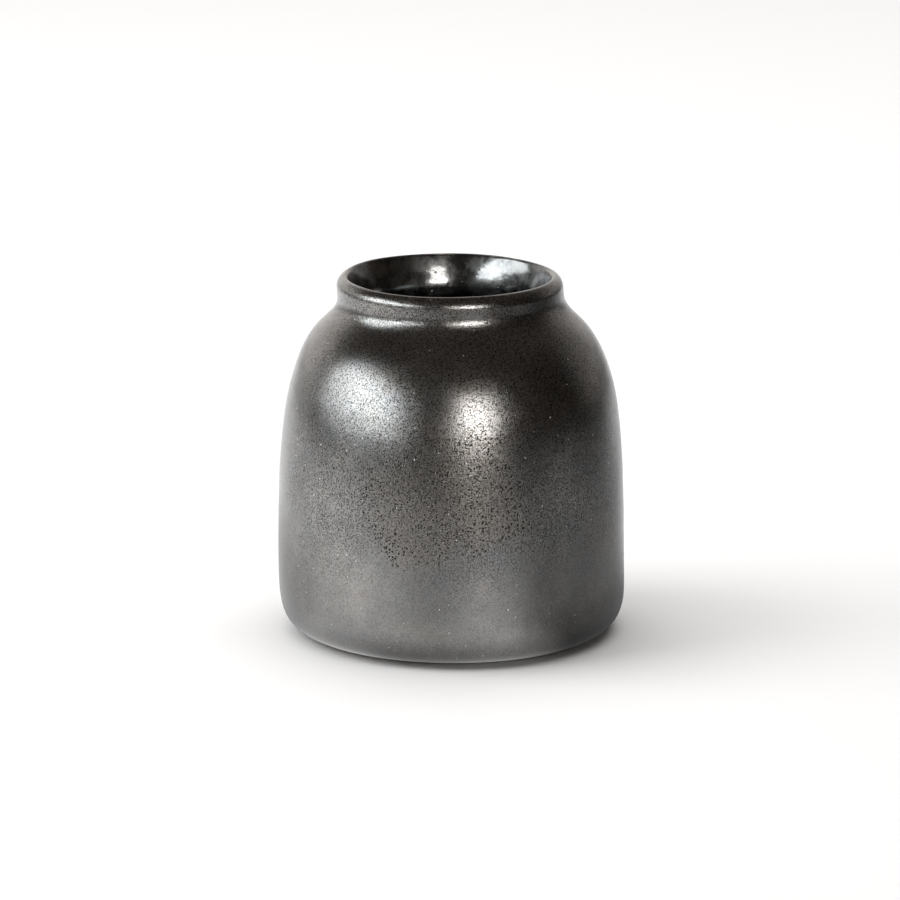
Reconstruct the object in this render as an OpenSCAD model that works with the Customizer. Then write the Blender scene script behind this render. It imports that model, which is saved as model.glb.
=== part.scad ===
// Empty candle jar: a slip-cast stoneware vessel with a rolled lip, a dry foot ring
// and three separately applied coats of glaze. Every part is a solid of revolution
// about Z. The origin is the centre of the circle that the foot ring stands on.

/* [Jar] */
// Height from the table to the crown of the lip
jar_h = 104.2; // [103.6:0.1:110]
// Widest diameter, over the glaze
belly_d = 100; // [96:0.5:106]
// Height of the widest point
belly_z = 17; // [14:0.5:20]
// Wall thickness of belly and shoulder, with a coat of glaze on each side
wall = 4.2; // [3.6:0.1:5]
// Thickness of each coat of glaze
glaze_t = 0.4; // [0.2:0.05:0.6]

/* [Foot] */
// Outer diameter of the bare foot ring
foot_d = 81; // [78:0.5:83]
// Width of the foot ring where it stands
foot_w = 5; // [3:0.5:8]
// Small bevel on both edges of the foot ring
foot_bevel = 0.4; // [0.2:0.1:0.4]
// Height at which the outside glaze stops
glaze_line = 0.45; // [0.4:0.05:0.8]
// Depth of the recess inside the foot ring, up to its glaze
recess_depth = 1.5; // [0.8:0.1:2]
// Height of the inside floor
floor_z = 6; // [5:0.5:8]

/* [Shoulder] */
// Height at which the shoulder runs into the sweep of the neck
shoulder_z = 90.6; // [88:0.2:91]
// Slope of the shoulder there, in degrees
shoulder_slope = 44; // [40:1:48]
// How far the belly carries on upright before it turns in
belly_pull = 40.6; // [34:0.2:46]
// How far the slope carries on outwards before it turns down
shoulder_pull = 15.5; // [12:0.5:19]

/* [Neck and lip] */
// Outer diameter of the neck
neck_d = 64.8; // [63:0.2:68]
// Sideways reach of the sweep between shoulder and neck
sweep_w = 5; // [4:0.1:6]
// Height at which that sweep becomes the upright neck
neck_z = 98.5; // [97:0.1:99]
// Width of the roll on the outside of the lip
lip_w = 2.8; // [2:0.1:3]
// Height of the roll on the outside of the lip
lip_out_h = 3.25; // [2.5:0.05:4]
// Diameter of the throat, the narrowest place inside the neck
throat_d = 53.6; // [52:0.2:54.4]
// Height of the top of the throat, where the inside begins to open towards the lip
throat_z = 94.4; // [94:0.2:95.6]
// Length of the throat's upright wall
throat_len = 2; // [1.6:0.2:2.4]

/* [Hidden] */
$fn = 180;

// Steps along the long curves of the wall and along the short ones of neck and lip.
long_steps = 26;
short_steps = 12;

belly_r = belly_d / 2;
foot_r = foot_d / 2;
neck_r = neck_d / 2;
crown_r = neck_r - lip_w;
throat_r = throat_d / 2;

// The outside glaze stops a little way out from the foot ring and rises from there.
glaze_r = foot_r + 0.95;
glaze_rise = 11.2;
glaze_pull = 7.9;
// Height of the underside's fullest point, as a part of the height of the belly.
corner_drop = 0.44;
// How long the outside keeps each direction at the two ends of the neck's sweep.
sweep_pull = 3.5;
// The inside of the lip: how sharply it turns over at the crown, and how slowly it
// straightens towards the throat.
lip_turn = 0.9;
lip_ease = 2.8;

// Width of the inside corner between floor and wall, and how full it is.
corner_w = 16;
corner_pull = 11;
corner_rise = 6;
// The inside shoulder turns in a little sooner than the outside one.
inside_pull_less = 2;
inside_sweep_pull = 3.2;

// The recess under the floor, and the bare clay left round its glaze.
recess_r = foot_r - foot_w;
recess_bare = 1.6;

// A point on the cubic curve from a to d that is pulled towards b and c.
function cubic(a, b, c, d, t) =
    pow(1 - t, 3) * a + 3 * pow(1 - t, 2) * t * b + 3 * (1 - t) * t * t * c + pow(t, 3) * d;

// The direction of that curve.
function heading(a, b, c, d, t) =
    pow(1 - t, 2) * (b - a) + 2 * (1 - t) * t * (c - b) + t * t * (d - c);

// The unit vector to the left of v, and the unit vector at an angle.
function left_of(v) = [-v.y, v.x] / norm(v);
function along(angle) = [cos(angle), sin(angle)];

// Points of the cubic curve.
function cubic_points(a, b, c, d, steps) = [for (i = [0 : steps]) cubic(a, b, c, d, i / steps)];

// Points of the cubic curve, each moved to the left by shift.
function curve(a, b, c, d, steps, shift) =
    [for (i = [0 : steps]) let (t = i / steps)
        cubic(a, b, c, d, t) + shift * left_of(heading(a, b, c, d, t))];

// Points of the quarter of an ellipse from the right of m to above it.
function roll(m, w, h, steps) =
    [for (i = [0 : steps]) let (a = 90 * i / steps) m + [w * cos(a), h * sin(a)]];

function tail(points) = [for (i = [1 : len(points) - 1]) points[i]];
function reversed(points) = [for (i = [len(points) - 1 : -1 : 0]) points[i]];

// The outside, from the glaze line up to the crown of the lip, moved inwards by depth:
// 0 is the face of the glaze, and glaze_t is the face of the clay under it.
function outside(depth) =
    let (
        start = [glaze_r, glaze_line],
        belly = [belly_r, belly_z],
        slope = along(-shoulder_slope),
        shoulder = [neck_r + sweep_w, shoulder_z],
        neck = [neck_r, neck_z],
        neck_top = jar_h - lip_out_h
    )
    concat(
        curve(start, start + glaze_pull * along(glaze_rise), [belly_r, corner_drop * belly_z], belly,
            long_steps, depth),
        tail(curve(belly, belly + [0, belly_pull], shoulder + shoulder_pull * slope, shoulder,
            long_steps, depth)),
        tail(curve(shoulder, shoulder - sweep_pull * slope, neck - [0, sweep_pull], neck,
            short_steps, depth)),
        roll([crown_r, neck_top], lip_w - depth, lip_out_h - depth, short_steps)
    );

// The inside, from the middle of the floor up through the throat to the crown of the lip,
// moved into the wall by depth: 0 is the face of the glaze, and glaze_t is the clay behind it.
function inside(depth) =
    let (
        wall_foot = [belly_r - wall, belly_z],
        floor_edge = [belly_r - wall - corner_w, floor_z],
        slope = along(-shoulder_slope),
        shoulder = [neck_r + sweep_w, shoulder_z] + wall * left_of(-slope),
        throat = [throat_r, throat_z - throat_len],
        throat_top = [throat_r + depth, throat_z],
        crown = [crown_r, jar_h - depth]
    )
    concat(
        [[0, floor_z - depth]],
        curve(floor_edge, floor_edge + [corner_pull, 0], wall_foot - [0, corner_rise], wall_foot,
            short_steps, -depth),
        tail(curve(wall_foot, wall_foot + [0, belly_pull - inside_pull_less],
            shoulder + (shoulder_pull - inside_pull_less) * slope, shoulder, long_steps, -depth)),
        tail(curve(shoulder, shoulder - inside_sweep_pull * slope, throat - [0, inside_sweep_pull],
            throat, short_steps, -depth)),
        cubic_points(throat_top, throat_top + [0, lip_ease], crown - [lip_turn, 0], crown, short_steps)
    );

// The foot ring, from the middle of the recess out to the underside at height side_z.
function foot(side_z) =
    let (ceiling = recess_depth + glaze_t)
    [
        [0, ceiling],
        [recess_r - foot_bevel, ceiling],
        [recess_r, foot_bevel],
        [recess_r + foot_bevel, 0],
        [foot_r - foot_bevel, 0],
        [foot_r, foot_bevel],
        [foot_r, side_z]
    ];

module revolve(points) {
    rotate_extrude()
        polygon(points);
}

// Fired stoneware, bare only on the foot ring and round the glaze in the recess.
module clay_body() {
    skin = outside(glaze_t);
    color([0.45, 0.37, 0.30])
        revolve(concat(foot(skin[0].y), skin, tail(reversed(inside(glaze_t)))));
}

// Satin metallic coat from the foot up to the crown of the lip.
module outer_glaze() {
    color([0.25, 0.25, 0.26])
        revolve(concat(outside(0), reversed(outside(glaze_t))));
}

// Gloss black coat from the floor up through the throat to the crown of the lip.
module liner_glaze() {
    color([0.04, 0.04, 0.045])
        revolve(concat(inside(0), reversed(inside(glaze_t))));
}

// Round patch of the outside glaze, left in the recess under the floor.
module base_glaze() {
    edge_r = recess_r - recess_bare;
    color([0.22, 0.22, 0.23])
        revolve([
            [0, recess_depth],
            [edge_r - glaze_t, recess_depth],
            [edge_r, recess_depth + glaze_t],
            [0, recess_depth + glaze_t]
        ]);
}

clay_body();
outer_glaze();
liner_glaze();
base_glaze();
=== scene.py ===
import math

import bpy
import numpy as np
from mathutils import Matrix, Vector


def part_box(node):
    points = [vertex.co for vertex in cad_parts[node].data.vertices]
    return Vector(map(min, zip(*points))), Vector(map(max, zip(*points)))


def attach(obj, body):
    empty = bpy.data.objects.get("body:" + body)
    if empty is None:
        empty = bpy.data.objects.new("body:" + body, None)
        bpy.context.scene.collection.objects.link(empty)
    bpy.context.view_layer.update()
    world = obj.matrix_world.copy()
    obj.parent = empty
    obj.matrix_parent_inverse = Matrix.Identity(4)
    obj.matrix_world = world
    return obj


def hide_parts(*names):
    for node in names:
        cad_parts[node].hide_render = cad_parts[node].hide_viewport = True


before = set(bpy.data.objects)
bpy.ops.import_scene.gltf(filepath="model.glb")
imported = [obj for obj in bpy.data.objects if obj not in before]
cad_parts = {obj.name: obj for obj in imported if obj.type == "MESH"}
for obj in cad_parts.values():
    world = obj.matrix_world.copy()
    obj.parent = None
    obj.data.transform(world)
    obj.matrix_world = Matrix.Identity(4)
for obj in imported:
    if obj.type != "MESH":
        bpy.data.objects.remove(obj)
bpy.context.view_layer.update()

MM = 0.001
TAU = 2 * math.pi
lip_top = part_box("outer_glaze")[1].z


# ---------------------------------------------------------------- camera, lights, surroundings

def aim(thing, target):
    """Turns a camera or light, which look along their own -Z, towards target."""
    way = Vector(target) - thing.location
    thing.rotation_euler = way.to_track_quat("-Z", "Y").to_euler()


# Where the camera is and what it looks at, in metres, and its focal length in millimetres.
CAMERA_PLACE = (-0.0003, -1.6, 0.4544)
CAMERA_TARGET = (-0.0003, 0, 0.0524)
FOCAL_LENGTH = 228.3


def make_camera():
    """A long lens a little above the jar, looking down on it by 14 degrees."""
    lens = bpy.data.cameras.new("camera")
    lens.lens = FOCAL_LENGTH
    lens.clip_end = 50
    camera = bpy.data.objects.new("camera", lens)
    bpy.context.scene.collection.objects.link(camera)
    camera.location = CAMERA_PLACE
    aim(camera, CAMERA_TARGET)
    bpy.context.scene.camera = camera


def make_light(name, shape, size, place, target, watts):
    """A soft area light for matt surfaces, which glossy ones don't mirror."""
    lamp = bpy.data.lights.new(name, "AREA")
    lamp.shape = shape
    lamp.size = size
    lamp.energy = watts
    light = bpy.data.objects.new(name, lamp)
    bpy.context.scene.collection.objects.link(light)
    light.location = place
    aim(light, target)
    light.visible_glossy = False


def make_lights():
    """Softboxes overhead and on the left light the table, and are not mirrored."""
    make_light("softbox_left", "SQUARE", 1.2, (-1.3, -0.1, 1.2), (0, 0, 0.03), 20.0)
    make_light("softbox_top", "SQUARE", 2.6, (0.1, 0.5, 2.2), (0.1, 0.5, 0), 58.0)


# What the glaze mirrors, as (bearing, elevation) in degrees seen from the jar. A bearing of 0
# is towards the camera, and minus is to the left.
WINDOW = [(-103, 7), (-93, 29), (-84, 36), (-71, 33), (-54, 22), (-34, 13), (-31, 10), (-57, 8.5),
          (-80, 7)]
REFLECTOR_MIDDLE = (16, 14.3)
REFLECTOR_REACH = (11.5, 8.0)
REFLECTOR_CORNERS = 32
# How far off the cards are, and the height that they are seen from, in metres.
CARD_DISTANCE = 2.4
JAR_MIDDLE = 0.06
COOL_WHITE = (0.93, 0.98, 1.0, 1)
WARM_WHITE = (1.0, 0.98, 0.95, 1)
# How bright each card is: the strengths at its dim and its bright end, the direction from the
# one to the other, and how far along that direction the two ends are, in metres.
WINDOW_GLOW = (5.0, 10.4, (0, -1, 0), 0.0, 2.0)
REFLECTOR_GLOW = (10.0, 20.5, (0, 0, -1), -0.95, -0.25)


def seen_from_jar(bearing, elevation):
    """The place on a card that has this bearing and elevation."""
    a, e = math.radians(bearing), math.radians(elevation)
    flat = CARD_DISTANCE * math.cos(e)
    return (flat * math.sin(a), -flat * math.cos(a), JAR_MIDDLE + CARD_DISTANCE * math.sin(e))


def make_card(name, corners, colour, brightness):
    """A glowing card that only mirror reflections show."""
    mesh = bpy.data.meshes.new(name)
    mesh.from_pydata([seen_from_jar(*corner) for corner in corners], [], [tuple(range(len(corners)))])
    material = bpy.data.materials.new(name)
    s = Shader(material)
    dim, bright, way, start, end = brightness
    along = s.add("ShaderNodeVectorMath", {0: s.place(), 1: way}, operation="DOT_PRODUCT")
    s.glow(colour, s.ramp(along.outputs["Value"], start, end, dim, bright))
    mesh.materials.append(material)
    card = bpy.data.objects.new(name, mesh)
    bpy.context.scene.collection.objects.link(card)
    card.visible_camera = card.visible_diffuse = card.visible_shadow = False


def make_cards():
    """A cool window on the left and a round warm reflector in front, behind the camera."""
    make_card("window", WINDOW, COOL_WHITE, WINDOW_GLOW)
    round_card = [
        [middle + reach * turn(TAU * i / REFLECTOR_CORNERS) for middle, reach, turn in
         zip(REFLECTOR_MIDDLE, REFLECTOR_REACH, (math.cos, math.sin))]
        for i in range(REFLECTOR_CORNERS)
    ]
    make_card("reflector", round_card, WARM_WHITE, REFLECTOR_GLOW)


# ---------------------------------------------------------------- shader nodes

# How far scattered points stray from an even grid, from 0 to 1.
SCATTER = 0.8


class Shader:
    """Adds nodes to a node tree. An input is a number, a colour or another node's output."""

    def __init__(self, owner):
        owner.use_nodes = True
        self.tree = owner.node_tree
        self.tree.nodes.clear()

    def add(self, kind, inputs, **settings):
        made = self.tree.nodes.new(kind)
        for name, value in settings.items():
            setattr(made, name, value)
        for name, value in inputs.items():
            if isinstance(value, bpy.types.NodeSocket):
                self.tree.links.new(value, made.inputs[name])
            else:
                made.inputs[name].default_value = value
        return made

    def place(self):
        """Coordinates on the object, in metres."""
        return self.add("ShaderNodeTexCoord", {}).outputs["Object"]

    def moved(self, where, seed):
        """The same coordinates elsewhere, so that textures of one kind differ."""
        shift = self.add("ShaderNodeVectorMath", {0: where, 1: (0.31 * seed, 0.17 * seed, 0.23 * seed)})
        return shift.outputs["Vector"]

    def noise(self, where, size, detail=2.0, roughness=0.5, seed=1):
        """Soft noise about 0.5, with features size millimetres apart."""
        inputs = {"Vector": self.moved(where, seed), "Scale": 1 / (size * MM)}
        inputs.update({"Detail": detail, "Roughness": roughness})
        return self.add("ShaderNodeTexNoise", inputs).outputs["Fac"]

    def spots(self, where, spacing, seed=1):
        """Distance from scattered points, in millimetres, and a random number for each point."""
        inputs = {"Vector": self.moved(where, seed), "Scale": 1 / (spacing * MM), "Randomness": SCATTER}
        cells = self.add("ShaderNodeTexVoronoi", inputs)
        chance = self.add("ShaderNodeSeparateColor", {"Color": cells.outputs["Color"]}).outputs["Red"]
        return self.calc("MULTIPLY", cells.outputs["Distance"], spacing), chance

    def calc(self, operation, first, second=0.0, third=0.0):
        """One step of arithmetic on numbers or other nodes' outputs."""
        made = self.add("ShaderNodeMath", {}, operation=operation)
        for socket, value in zip(made.inputs, (first, second, third)):
            if isinstance(value, bpy.types.NodeSocket):
                self.tree.links.new(value, socket)
            else:
                socket.default_value = value
        return made.outputs[0]

    def ramp(self, value, low, high, out_low=0.0, out_high=1.0):
        """Carries value from low..high to out_low..out_high, easing in and out."""
        return self.add(
            "ShaderNodeMapRange",
            {"Value": value, "From Min": low, "From Max": high, "To Min": out_low, "To Max": out_high},
            interpolation_type="SMOOTHSTEP",
        ).outputs["Result"]

    def mix(self, factor, first, second):
        """A colour between first and second."""
        made = self.add("ShaderNodeMix", {}, data_type="RGBA")
        for name, value in (("Factor", factor), ("A", first), ("B", second)):
            socket = next(s for s in made.inputs if s.name == name and s.enabled)
            if isinstance(value, bpy.types.NodeSocket):
                self.tree.links.new(value, socket)
            else:
                socket.default_value = value
        return next(s for s in made.outputs if s.enabled)

    def glow(self, colour, strength):
        """Ends a material that gives out light."""
        light = self.add("ShaderNodeEmission", {"Color": colour, "Strength": strength})
        end = self.add("ShaderNodeOutputMaterial", {})
        self.tree.links.new(light.outputs[0], end.inputs["Surface"])

    def surface(self, height, **inputs):
        """Ends a material: a Principled shader whose normals follow height, in millimetres."""
        bump = self.add("ShaderNodeBump", {"Height": height, "Strength": 1.0, "Distance": MM}).outputs[0]
        glossy = self.add("ShaderNodeBsdfPrincipled", {"Normal": bump, "Coat Normal": bump})
        for name, value in inputs.items():
            socket = glossy.inputs[name.replace("_", " ")]
            if isinstance(value, bpy.types.NodeSocket):
                self.tree.links.new(value, socket)
            else:
                socket.default_value = value
        end = self.add("ShaderNodeOutputMaterial", {})
        self.tree.links.new(glossy.outputs[0], end.inputs["Surface"])


def grey(value, warmth=0.0):
    """A neutral colour, or a warmer one."""
    return (value * (1 + warmth), value, value * (1 - warmth), 1)


# ---------------------------------------------------------------- materials

# Sizes in the glazes, in millimetres: the grain, the spacing of pits and of pale specks, and how
# far the grain moves the edge of a pit. Then the clear coats' index of refraction.
GRAIN_SIZE = 0.42
PIT_SPACING = 0.82
SPECK_SPACING = 2.4
PIT_RAGGEDNESS = 0.2
COAT_IOR = 1.9
# Where the outside glaze ran thin, as a soft patch in front: its middle in millimetres, and how
# quickly it ends along each axis, per metre.
PATCH_MIDDLE = (-1, -49, 49)
PATCH_CLOSENESS = (38, 30, 46)


def thin_patch(s, where, zones):
    """How much a place belongs to the patch where the glaze ran thin, with an uneven border."""
    shift = tuple(-MM * value for value in PATCH_MIDDLE)
    away = s.add("ShaderNodeVectorMath", {0: where, 1: shift}).outputs["Vector"]
    away = s.add("ShaderNodeVectorMath", {0: away, 1: PATCH_CLOSENESS}, operation="MULTIPLY")
    away = s.add("ShaderNodeVectorMath", {0: away.outputs["Vector"]}, operation="LENGTH")
    return s.ramp(s.calc("MULTIPLY_ADD", zones, 1.4, away.outputs["Value"]), 1.8, 1.2)


def pits_in(s, where, grain, patches, bare):
    """Round pits, up to 0.45 mm in radius where the glaze is thinnest, with ragged edges."""
    far, size = s.spots(where, PIT_SPACING, seed=5)
    far = s.calc("MULTIPLY_ADD", grain, PIT_RAGGEDNESS, s.calc("SUBTRACT", far, PIT_RAGGEDNESS / 2))
    pitted = s.calc("MULTIPLY", s.ramp(patches, 0.3, 0.55, 0.5, 1.0), s.ramp(bare, 0.0, 0.4))
    reach = s.calc("MULTIPLY", s.ramp(size, 0.1, 1.0, 0.45, 0.17), pitted)
    return s.ramp(far, reach, s.calc("MULTIPLY", reach, 0.6))


def pale_specks(s, where):
    """Sparse specks of dry glaze, up to 0.28 mm in radius."""
    far, size = s.spots(where, SPECK_SPACING, seed=6)
    return s.ramp(far, s.ramp(size, 0.1, 1, 0.08, 0.28), 0.06)


def metallic_glaze():
    """Satin gunmetal: fine dark grain, pits where the glaze is thin with painted shade in them, mottling
    and pale specks.
    """
    material = bpy.data.materials.new("metallic_glaze")
    s = Shader(material)
    where = s.place()
    clouds = s.noise(where, 14, detail=4, roughness=0.6, seed=1)
    patches = s.noise(where, 5, detail=4, roughness=0.65, seed=2)
    zones = s.noise(where, 22, detail=3, seed=14)
    peel = s.noise(where, 1.1, detail=1, seed=3)
    grain = s.noise(where, GRAIN_SIZE, detail=2, roughness=0.7, seed=4)
    rise = s.add("ShaderNodeSeparateXYZ", {"Vector": where}).outputs["Z"]
    # The grain is faint near the foot and grows stronger up the wall, with an uneven border.
    grainy = s.ramp(s.calc("MULTIPLY_ADD", zones, 40 * MM, rise), 34 * MM, 72 * MM)
    bare = thin_patch(s, where, zones)
    pit = pits_in(s, where, grain, patches, bare)
    speck = pale_specks(s, where)
    dark = s.calc("MULTIPLY", s.ramp(grain, 0.58, 0.36), s.ramp(grainy, 0, 1, 0.4, 0.95))
    dark = s.calc("MAXIMUM", dark, pit)

    height = s.calc("MULTIPLY", peel, 0.02)
    height = s.calc("MULTIPLY_ADD", grain, s.ramp(grainy, 0, 1, 0.035, 0.056), height)
    height = s.calc("MULTIPLY_ADD", pit, -0.07, height)
    height = s.calc("MULTIPLY_ADD", speck, 0.05, height)

    tone = s.mix(s.ramp(clouds, 0.3, 0.7), grey(0.125, -0.02), grey(0.2, 0.06))
    tone = s.mix(s.ramp(patches, 0.32, 0.68, 0, 0.6), tone, grey(0.125, 0.12))
    tone = s.mix(s.calc("MULTIPLY", bare, 0.5), tone, grey(0.155, 0.17))
    # Dark grain colour, and painted shade that turns the pits near black.
    tone = s.mix(dark, tone, grey(0.015, 0.05))
    tone = s.mix(speck, tone, grey(0.7, 0.02))
    roughness = s.ramp(clouds, 0.25, 0.75, 0.28, 0.31)
    shine = s.ramp(dark, 0, 1, 1.0, 0.15)
    metal = s.calc("MULTIPLY_ADD", speck, -0.9, 1.0)
    s.surface(height, Base_Color=tone, Metallic=metal, Roughness=roughness, Coat_Weight=shine,
              Coat_Roughness=0.15, Coat_IOR=COAT_IOR)
    return material


def black_glaze():
    """The liner: darker and glossier than the outside, with a grain like its at the crown."""
    material = bpy.data.materials.new("black_glaze")
    s = Shader(material)
    where = s.place()
    clouds = s.noise(where, 5, detail=4, roughness=0.65, seed=7)
    peel = s.noise(where, 1.6, detail=1.5, seed=8)
    grain = s.noise(where, GRAIN_SIZE, detail=1.5, roughness=0.6, seed=4)
    far, size = s.spots(where, 1.5, seed=9)
    pinhole = s.ramp(far, s.ramp(size, 0, 1, 0.34, 0.08), 0.02)
    rise = s.add("ShaderNodeSeparateXYZ", {"Vector": where}).outputs["Z"]
    rise = s.calc("MULTIPLY_ADD", clouds, 1.2 * MM, rise)
    satin = s.ramp(rise, lip_top - 0.6 * MM, lip_top + 0.4 * MM)
    height = s.calc("MULTIPLY", peel, 0.03)
    height = s.calc("MULTIPLY_ADD", s.calc("MULTIPLY", grain, satin), 0.05, height)
    height = s.calc("MULTIPLY_ADD", pinhole, -0.05, height)
    tone = s.mix(s.ramp(clouds, 0.38, 0.62), grey(0.03), grey(0.11, 0.02))
    # Painted shade darkens the pinholes.
    tone = s.mix(s.calc("MULTIPLY", pinhole, 0.5), tone, grey(0.03))
    roughness = s.ramp(clouds, 0.35, 0.7, 0.28, 0.36)
    shine = s.ramp(clouds, 0.35, 0.6, 0.75, 1.0)
    s.surface(height, Base_Color=tone, Metallic=1.0, Roughness=roughness, Coat_Weight=shine,
              Coat_Roughness=0.12, Coat_IOR=COAT_IOR)
    return material


def bare_clay():
    """Unglazed fired stoneware: warm brown, matt and gritty, with dark iron specks."""
    material = bpy.data.materials.new("bare_clay")
    s = Shader(material)
    where = s.place()
    clouds = s.noise(where, 6, detail=4, roughness=0.6, seed=10)
    grit = s.noise(where, 0.5, detail=3, roughness=0.7, seed=11)
    far, size = s.spots(where, 1.2, seed=12)
    iron = s.ramp(far, s.ramp(size, 0, 0.8, 0.35, 0.05), 0.0)
    height = s.calc("MULTIPLY_ADD", grit, 0.08, s.calc("MULTIPLY", iron, -0.03))
    tone = s.mix(s.ramp(clouds, 0.3, 0.7), (0.27, 0.2, 0.145, 1), (0.4, 0.31, 0.23, 1))
    tone = s.mix(s.ramp(grit, 0.4, 0.7, 0, 0.4), tone, (0.46, 0.37, 0.29, 1))
    tone = s.mix(s.calc("MULTIPLY", iron, 0.8), tone, (0.06, 0.04, 0.03, 1))
    roughness = s.ramp(grit, 0.3, 0.7, 0.8, 0.95)
    s.surface(height, Base_Color=tone, Metallic=0.0, Roughness=roughness)
    return material


def table_paper():
    """Seamless white paper."""
    material = bpy.data.materials.new("table_paper")
    s = Shader(material)
    grain = s.noise(s.place(), 1.0, detail=3)
    tone = s.mix(grain, grey(0.8), grey(0.84))
    s.surface(s.calc("MULTIPLY", grain, 0.02), Base_Color=tone, Roughness=0.9)
    return material


def table_by_bearing(s, bearing, reach, y):
    """How bright the mirrored table is in each direction from the middle of the jar: painted light and
    painted shadow.
    """
    # What is on the right fades out behind the jar.
    right = s.ramp(bearing, 182, 112)
    # The jar's own shadow on the right, weaker far off in front.
    shade = s.calc("MULTIPLY", s.ramp(bearing, 22, 52), right)
    lifted = s.calc("MULTIPLY", s.ramp(reach, 0.12, 0.35), s.ramp(y, 0.06, -0.06))
    shade = s.calc("MULTIPLY", shade, s.ramp(lifted, 0, 1, 1.0, 0.52))
    # Painted shade, darker still on the right, close to the jar.
    close = s.calc("MULTIPLY", s.ramp(reach, 0.13, 0.07), s.ramp(bearing, 14, 34))
    close = s.calc("MULTIPLY", close, right)
    # A dimmer strip of painted shade just left of straight ahead.
    dip = s.calc("MULTIPLY", s.ramp(bearing, -34, -12), s.ramp(bearing, 14, -6))
    dip = s.calc("MULTIPLY", dip, s.ramp(reach, 0.14, 0.4, 1.0, 0.3))
    # The window's light on the left, away from the jar.
    crest = s.calc("MULTIPLY", s.ramp(bearing, -118, -84), s.ramp(bearing, -24, -58))
    crest = s.calc("MULTIPLY", crest, s.ramp(reach, 0.06, 0.18, 0.2, 1.0))
    bright = s.calc("MULTIPLY_ADD", shade, -0.8, 1.15)
    bright = s.calc("MULTIPLY_ADD", dip, -0.3, bright)
    bright = s.calc("MULTIPLY_ADD", close, -0.16, bright)
    return s.calc("MULTIPLY_ADD", crest, 0.55, bright)


def painted_shade_near_jar(s, bearing, reach):
    """Painted shade on the mirrored table: how much dimmer it is beside the jar on the left, and
    under its belly, less so on the left."""
    ahead = s.ramp(bearing, -178, -140)
    beside = s.calc("MULTIPLY", s.ramp(bearing, -50, -95), ahead)
    beside = s.calc("MULTIPLY", beside, s.ramp(reach, 0.24, 0.08))
    lit = s.calc("MULTIPLY", s.ramp(bearing, -20, -45), ahead)
    under = s.ramp(reach, 0.04, 0.068, s.ramp(lit, 0, 1, 0.36, 0.5), 1.0)
    return s.calc("MULTIPLY", s.ramp(beside, 0, 1, 1.0, 0.54), under)


def dimming_far_off(s, x, y):
    """How the painted light of the mirrored table dims further in front, and how it ends in the
    dark in front and at the sides, sooner on the right."""
    ahead = s.calc("MINIMUM", y, 0.0)
    aside = s.calc("MULTIPLY", x, s.ramp(x, -0.1, 0.1, 0.62, 0.95))
    far = s.calc("SQRT", s.calc("MULTIPLY_ADD", aside, aside, s.calc("MULTIPLY", ahead, ahead)))
    return s.calc("MULTIPLY", s.ramp(y, -0.09, -0.25, 1.0, 0.76), s.ramp(far, 0.2, 0.75, 1.0, 0.0))


def mirrored_table():
    """What the glaze mirrors of the table, a glowing sheet with painted light and painted
    shadow, by bearing in degrees and distance in metres from the middle of the jar. A bearing of
    0 is towards the camera, and minus is to the left."""
    material = bpy.data.materials.new("mirrored_table")
    s = Shader(material)
    x, y, _ = s.add("ShaderNodeSeparateXYZ", {"Vector": s.place()}).outputs
    bearing = s.calc("DEGREES", s.calc("ARCTAN2", x, s.calc("MULTIPLY", y, -1.0)))
    reach = s.calc("SQRT", s.calc("MULTIPLY_ADD", x, x, s.calc("MULTIPLY", y, y)))
    bright = table_by_bearing(s, bearing, reach, y)
    bright = s.calc("MULTIPLY", bright, painted_shade_near_jar(s, bearing, reach))
    bright = s.calc("MULTIPLY", bright, dimming_far_off(s, x, y))
    s.glow(grey(1.0), bright)
    return material


def make_world():
    """A dim warm room with a pale backdrop behind the jar, brighter on the left. The camera
    itself sees plain white."""
    world = bpy.data.worlds.new("studio")
    bpy.context.scene.world = world
    s = Shader(world)
    way = s.add("ShaderNodeTexCoord", {}).outputs["Generated"]
    x, y, z = s.add("ShaderNodeSeparateXYZ", {"Vector": way}).outputs
    behind = s.calc("MULTIPLY", s.ramp(y, 0.15, 0.6), s.ramp(z, 0.7, 0.3))
    left = s.ramp(x, 0.85, -0.4, 0.3, 1.0)
    backdrop = s.calc("MULTIPLY", behind, left)
    room = s.mix(s.ramp(z, 0.45, 0.8), (0.05, 0.042, 0.035, 1), (0.1, 0.086, 0.075, 1))
    room = s.mix(backdrop, room, (1.08, 1.04, 1.0, 1))
    seen = s.add("ShaderNodeLightPath", {}).outputs["Is Camera Ray"]
    back = s.add("ShaderNodeBackground", {"Color": s.mix(seen, room, (1, 1, 1, 1)), "Strength": 1.0})
    end = s.add("ShaderNodeOutputWorld", {})
    s.tree.links.new(back.outputs[0], end.inputs["Surface"])


# ---------------------------------------------------------------- outlines, in millimetres

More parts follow.
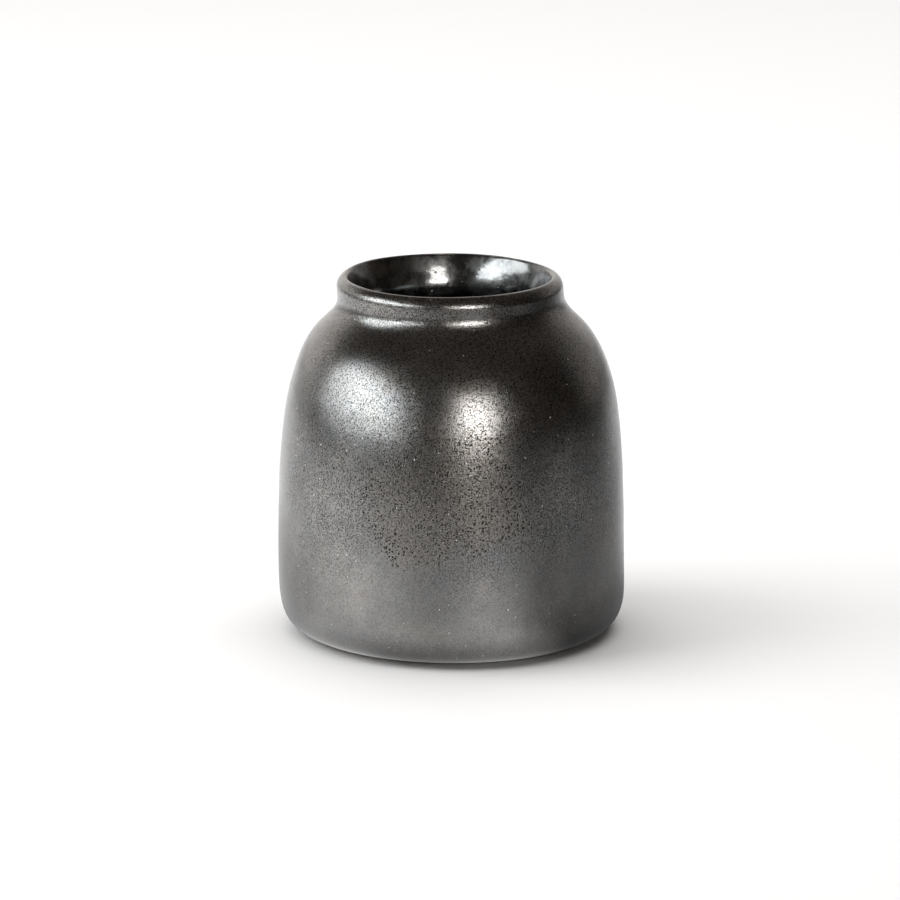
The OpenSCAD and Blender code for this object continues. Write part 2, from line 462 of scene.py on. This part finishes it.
def outline_of(node):
    """The outline that a CAD node was turned from: (radius, height) points in order. One that
    ends on flat discs runs from its lower disc, and a closed one from its lowest point outwards."""
    same_ring = 0.02
    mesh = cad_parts[node].data
    spots = np.array([v.co for v in mesh.vertices]) / MM
    spots = np.column_stack([np.hypot(spots[:, 0], spots[:, 1]), spots[:, 2]])
    keys, member = np.unique(np.round(spots, 3), axis=0, return_inverse=True)
    rings, ring_of = [], []
    for key in keys:
        near = [i for i, ring in enumerate(rings) if np.hypot(*(key - ring)) < same_ring]
        if not near:
            rings.append(key)
        ring_of.append(near[0] if near else len(rings) - 1)
    ring_of = np.array(ring_of)[member.ravel()]
    beside = [set() for _ in rings]
    for edge in mesh.edges:
        a, b = (ring_of[v] for v in edge.vertices)
        if a != b:
            beside[a].add(b)
            beside[b].add(a)
    ends = [i for i, near in enumerate(beside) if len(near) == 1]
    walk = [min(ends or range(len(rings)), key=lambda i: rings[i][1])]
    walk.append(max(beside[walk[0]], key=lambda i: rings[i][0]))
    while True:
        onward = [i for i in beside[walk[-1]] if i not in walk[-2:] and i != walk[0]]
        if not onward:
            return np.array([rings[i] for i in walk])
        walk.append(onward[0])


def smooth_line(points, corner=25.0, step=0.05, soften=0.0):
    """A fine line through points: a smooth curve between corners, which soften then rounds off."""
    ways = np.diff(points, axis=0)
    turns = np.degrees(np.diff(np.unwrap(np.arctan2(ways[:, 1], ways[:, 0]))))
    stops = [0] + [i + 1 for i, turn in enumerate(turns) if abs(turn) > corner] + [len(points) - 1]
    fine = [points[:1]]
    for first, last in zip(stops, stops[1:]):
        part = points[first : last + 1]
        part = np.vstack([2 * part[0] - part[1], part, 2 * part[-1] - part[-2]])
        for a, b, c, d in zip(part, part[1:], part[2:], part[3:]):
            t = np.linspace(0, 1, max(2, int(np.hypot(*(c - b)) / step) + 1))[1:, None]
            fine.append(0.5 * (2 * b + (c - a) * t + (2 * a - 5 * b + 4 * c - d) * t**2
                               + (3 * b - a - 3 * c + d) * t**3))
    line = np.vstack(fine)
    if soften:
        reach = np.arange(-3 * soften, 3 * soften + step / 2, step)
        bell = np.exp(-0.5 * (reach / soften) ** 2)
        bell /= bell.sum()
        wide = np.pad(line, ((len(reach) // 2,) * 2, (0, 0)), "edge")
        line = np.column_stack([np.convolve(wide[:, i], bell, "valid") for i in (0, 1)])
    return line


class Path:
    """A fine line by distance along it, with the clay on its left."""

    def __init__(self, points):
        self.points = points
        self.run = np.concatenate([[0], np.cumsum(np.hypot(*np.diff(points, axis=0).T))])
        self.length = self.run[-1]
        ways = np.gradient(points, self.run, axis=0)
        ways /= np.hypot(*ways.T)[:, None]
        self.normals = np.column_stack([ways[:, 1], -ways[:, 0]])

    def at(self, distance, depth=0.0):
        """Radius and height of places along the line, moved depth into the clay."""
        r, z = (np.interp(distance, self.run, self.points[:, i]) for i in (0, 1))
        nr, nz = (np.interp(distance, self.run, self.normals[:, i]) for i in (0, 1))
        return r - depth * nr, z - depth * nz


# ---------------------------------------------------------------- the casting's unevenness

# Sideways lean of the walls by height, as the unfired jar settled: (height, shift to +X).
LEAN = [(0, 0.3), (7, 0.3), (16, 0.1), (30, 0), (50, 0), (64, 0.1), (76, 0.3), (88, 0.1), (94.5, 0.4),
        (99, -0.2), (104, -0.5)]
# How far the liner's face lies below the CAD's inside the lip, at most.
LIP_HOLLOW = 0.14


def smooth_values(knots, at, ease):
    """Values between knots, with every bend eased over about ease millimetres."""
    heights, values = np.array(knots, float).T
    fine = np.arange(heights[0] - 4 * ease, heights[-1] + 4 * ease, 0.1)
    reach = np.arange(-3 * ease, 3 * ease, 0.1)
    bell = np.exp(-0.5 * (reach / ease) ** 2)
    eased = np.convolve(np.interp(fine, heights, values), bell / bell.sum(), "same")
    inner = slice(len(reach) // 2, -(len(reach) // 2))
    return np.interp(at, fine[inner], eased[inner])


def ripples(points, wavelength, seed, waves=28):
    """Smooth random unevenness of about unit size, the same in every direction."""
    draw = np.random.default_rng(seed)
    total = np.zeros(len(points))
    for _ in range(waves):
        way = draw.normal(size=3)
        way *= TAU / (wavelength * draw.uniform(0.75, 1.4) * np.linalg.norm(way))
        total += np.cos(points @ way + draw.uniform(0, TAU))
    return total / math.sqrt(waves / 2)


def settle(points):
    """Moves points of the ideal jar to where the uneven casting has them: out of round, faintly
    rippled all over and ringed by height, leaning, and with a lip that isn't quite level."""
    x, y, z = points.T
    angle = np.arctan2(y, x)
    r = np.hypot(x, y)
    oval = 0.22 * np.cos(2 * angle + 0.7) + 0.1 * np.cos(3 * angle + 2.1) + 0.05 * np.cos(5 * angle)
    waves = 0.035 * ripples(points, 17, 1)
    height = np.column_stack([0 * z, 0 * z, z])
    rings = 0.012 * ripples(height, 6, 3) * (z > 3)
    grown = (oval + waves + rings) * np.clip(r / 20, 0, 1)
    lip = np.clip((z - 90) / 10, 0, 1) ** 2
    moved = points.copy()
    moved[:, 0] += grown * np.cos(angle) + smooth_values(LEAN, z, 2.5)
    moved[:, 1] += grown * np.sin(angle)
    moved[:, 2] += lip * (0.1 * np.cos(2 * angle + 1.1) + 0.05 * np.cos(5 * angle + 0.4))
    return moved


# ---------------------------------------------------------------- turned pieces

def grid_points(r, z, angles):
    """Points of rings whose radius and height may vary round each ring, in millimetres."""
    r, z = (np.broadcast_to(value, (len(r), len(angles))) for value in (r, z))
    return np.stack([r * np.cos(angles), r * np.sin(angles), z], axis=2)


def skin(name, rings, material, closed):
    """A closed mesh over rings of points. The last ring joins the first, or both end on the axis."""
    rows, turns = rings.shape[:2]
    points = settle(rings.reshape(-1, 3))
    index = np.arange(rows * turns).reshape(rows, turns)
    lower = index if closed else index[:-1]
    upper = np.roll(index, -1, axis=0) if closed else index[1:]
    faces = np.stack([lower, np.roll(lower, -1, 1), np.roll(upper, -1, 1), upper], axis=2)
    faces = faces.reshape(-1, 4).tolist()
    if not closed:
        poles = [points[index[0]].mean(0), points[index[-1]].mean(0)]
        points = np.vstack([points, poles])
        first, last = rows * turns, rows * turns + 1
        for i in range(turns):
            j = (i + 1) % turns
            faces.append((first, index[0][j], index[0][i]))
            faces.append((last, index[-1][i], index[-1][j]))
    mesh = bpy.data.meshes.new(name)
    mesh.from_pydata(points * MM, [], faces)
    mesh.validate()
    mesh.shade_smooth()
    mesh.materials.append(material)
    piece = bpy.data.objects.new(name, mesh)
    bpy.context.scene.collection.objects.link(piece)
    return piece


def round_angles(turns):
    return np.arange(turns) * TAU / turns


def spread(length, stretches):
    """Distances along a line. Each stretch is (where it ends, the spacing on it)."""
    marks = [0.0]
    for end, spacing in stretches:
        end = min(end, length)
        steps = max(1, round((end - marks[-1]) / spacing))
        marks.extend(np.linspace(marks[-1], end, steps + 1)[1:])
    return np.array(marks)


def round_over(distance, reach, thickness):
    """How far the face of a coat drops towards its edge, as a quarter circle over reach."""
    left = np.clip(1 - distance / reach, 0, 1)
    return thickness * (1 - np.sqrt(1 - left**2))


def glazed_face():
    """The face of both coats as one line: up the outside, over the crown and down to the middle
    of the floor. Also the distance along it to the crown, and how thick the coats are."""
    outside, inside = outline_of("outer_glaze"), outline_of("liner_glaze")[::-1]
    over = int(np.argmax(outside[:, 1])) + 1
    under = int(np.argmax(inside[:, 1]))
    floor = [[0, inside[0][1]]]
    face = Path(smooth_line(np.vstack([outside[:over], inside[:under][::-1], floor]), soften=0.1))
    return face, face.run[np.argmax(face.points[:, 1])], inside[0][1] - inside[-1][1]


def rim_edge(angles):
    """How far past the crown the outside coat ends: the two coats meet on a wavy line."""
    return (0.3 + 0.12 * np.cos(3 * angles + 2) + 0.07 * np.cos(7 * angles)
            + 0.04 * np.cos(16 * angles))


def foot_edge(angles):
    """How far up from the foot ring the outside coat really begins."""
    edge = (0.45 + 0.3 * np.cos(3 * angles + 0.5) + 0.15 * np.cos(8 * angles + 1)
            + 0.08 * np.cos(17 * angles))
    return np.clip(edge, 0.02, None)


def fade(distance, reach):
    """From 1 at no distance to 0 at reach."""
    return np.clip(1 - distance / reach, 0, 1)


def eased(value, low, high):
    """From 0 at low to 1 at high, easing in and out."""
    share = np.clip((value - low) / (high - low), 0, 1)
    return share**2 * (3 - 2 * share)


def coat_outside(material, face, crown, thickness):
    """The glaze over the outside and the lip, rounded and beaded along its edge at the foot."""
    angles = round_angles(384)
    sweep = face.run[np.argmax(face.points[:, 1] > 88)]
    along = spread(crown, [(1.5, 0.15), (sweep, 0.8), (crown, 0.3)])[:, None]
    bends = foot_edge(angles) * fade(along, 6) + rim_edge(angles) * fade(crown - along, 2)
    bead = 0.08 * np.exp(-(((along - 1.4) / 0.9) ** 2))
    depth = round_over(along, 0.5, thickness) - bead
    front = grid_points(*face.at(along + bends, depth), angles)
    rear = grid_points(*face.at((along + bends)[::-5], thickness), angles)
    return skin("coat_outside", np.concatenate([front, rear]), material, closed=True)


def coat_inside(material, face, crown, thickness):
    """The liner, from the lip down through the throat to the middle of the floor. Its face is a
    little hollow inside the lip, from a few millimetres past the crown, and true again by 10."""
    angles = round_angles(320)
    length = face.length - crown
    along = spread(length, [(14, 0.35), (length - 42, 1.2), (length - 28, 0.9), (length, 2.0)])[:-1, None]
    places = crown + along + rim_edge(angles) * fade(along, 3)
    hollow = LIP_HOLLOW * along**2 / (along**2 + 1.6) * (1 - eased(along, 5.2, 10))
    front = grid_points(*face.at(places, hollow), angles)
    rear = grid_points(*face.at(places[::3], thickness), angles)
    return skin("coat_inside", np.concatenate([rear[::-1], front]), material, closed=False)


def body_clay(material):
    """The stoneware under the glaze. Only its foot shows, sponged smooth and a little gritty."""
    outline = outline_of("clay_body")
    outline = np.vstack([[[0, outline[0][1]]], outline, [[0, outline[-1][1]]]])
    line = Path(smooth_line(outline, soften=0.12))
    angles = round_angles(320)
    foot_end = line.run[np.argmax(line.points[:, 1] > 3)]
    along = spread(line.length, [(34, 2.0), (foot_end, 0.25), (line.length - 30, 1.6), (line.length, 3.0)])
    r, z = line.at(along[1:-1, None])
    rings = grid_points(r, z, angles)
    foot = rings[..., 2] < 1.6
    grit = ripples(rings.reshape(-1, 3), 2.2, 9).reshape(foot.shape)
    rings[..., 2] = np.where(foot, np.maximum(rings[..., 2] + 0.03 * grit, 0), rings[..., 2])
    return skin("body_clay", rings, material, closed=False)


def patch_base(material):
    """The patch of glaze in the recess: a brushed disc with a wavy edge."""
    outline = outline_of("base_glaze")
    (edge_r, low), (_, high) = outline[0], outline[-1]
    # The waves round this stay inside the CAD node's wider upper disc.
    radius = edge_r - 0.4
    angles = round_angles(192)
    wave = 0.35 * np.cos(4 * angles) + 0.2 * np.cos(9 * angles + 1) + 0.1 * np.cos(23 * angles + 2)
    share = np.linspace(0, 1, 40)[1:, None]
    reach = radius * share + wave * share**3
    under = low + (high - low) * (1 - np.sqrt(1 - np.clip((share - 0.97) / 0.03, 0, 1) ** 2))
    face = grid_points(reach, under, angles)
    share = share[::-1][::6]
    rear = grid_points(radius * share + wave * share**3, high, angles)
    return skin("patch_base", np.concatenate([face, rear[1:]]), material, closed=False)


# The table lies a hair under the foot, so that the two never share a plane.
TABLE_DROP = 0.02 * MM
TABLE_RADIUS = 6


def make_table(name, material):
    """A wide round sheet at the level of the table."""
    turns = 96
    points = [
        (TABLE_RADIUS * math.cos(TAU * i / turns), TABLE_RADIUS * math.sin(TAU * i / turns), -TABLE_DROP)
        for i in range(turns)
    ]
    mesh = bpy.data.meshes.new(name)
    mesh.from_pydata(points, [], [tuple(range(turns))])
    mesh.materials.append(material)
    table = bpy.data.objects.new(name, mesh)
    bpy.context.scene.collection.objects.link(table)
    return table


def make_tables():
    """The white table, and in its place for mirror reflections alone, what the glaze mirrors of it: a
    glowing sheet with painted light and painted shadow.
    """
    paper = make_table("table", table_paper())
    paper.visible_glossy = False
    mirrored = make_table("mirrored_table", mirrored_table())
    mirrored.visible_camera = False
    mirrored.visible_diffuse = False
    mirrored.visible_shadow = False


def put(piece, node):
    """The piece stands for a CAD node, rides on the one body and has a material slot."""
    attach(piece, "root")
    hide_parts(node)


make_camera()
make_lights()
make_cards()
make_world()
make_tables()
metallic = metallic_glaze()
put(coat_outside(metallic, *glazed_face()), "outer_glaze")
put(coat_inside(black_glaze(), *glazed_face()), "liner_glaze")
put(body_clay(bare_clay()), "clay_body")
put(patch_base(metallic), "base_glaze")
bpy.context.scene.view_settings.view_transform = "Standard"
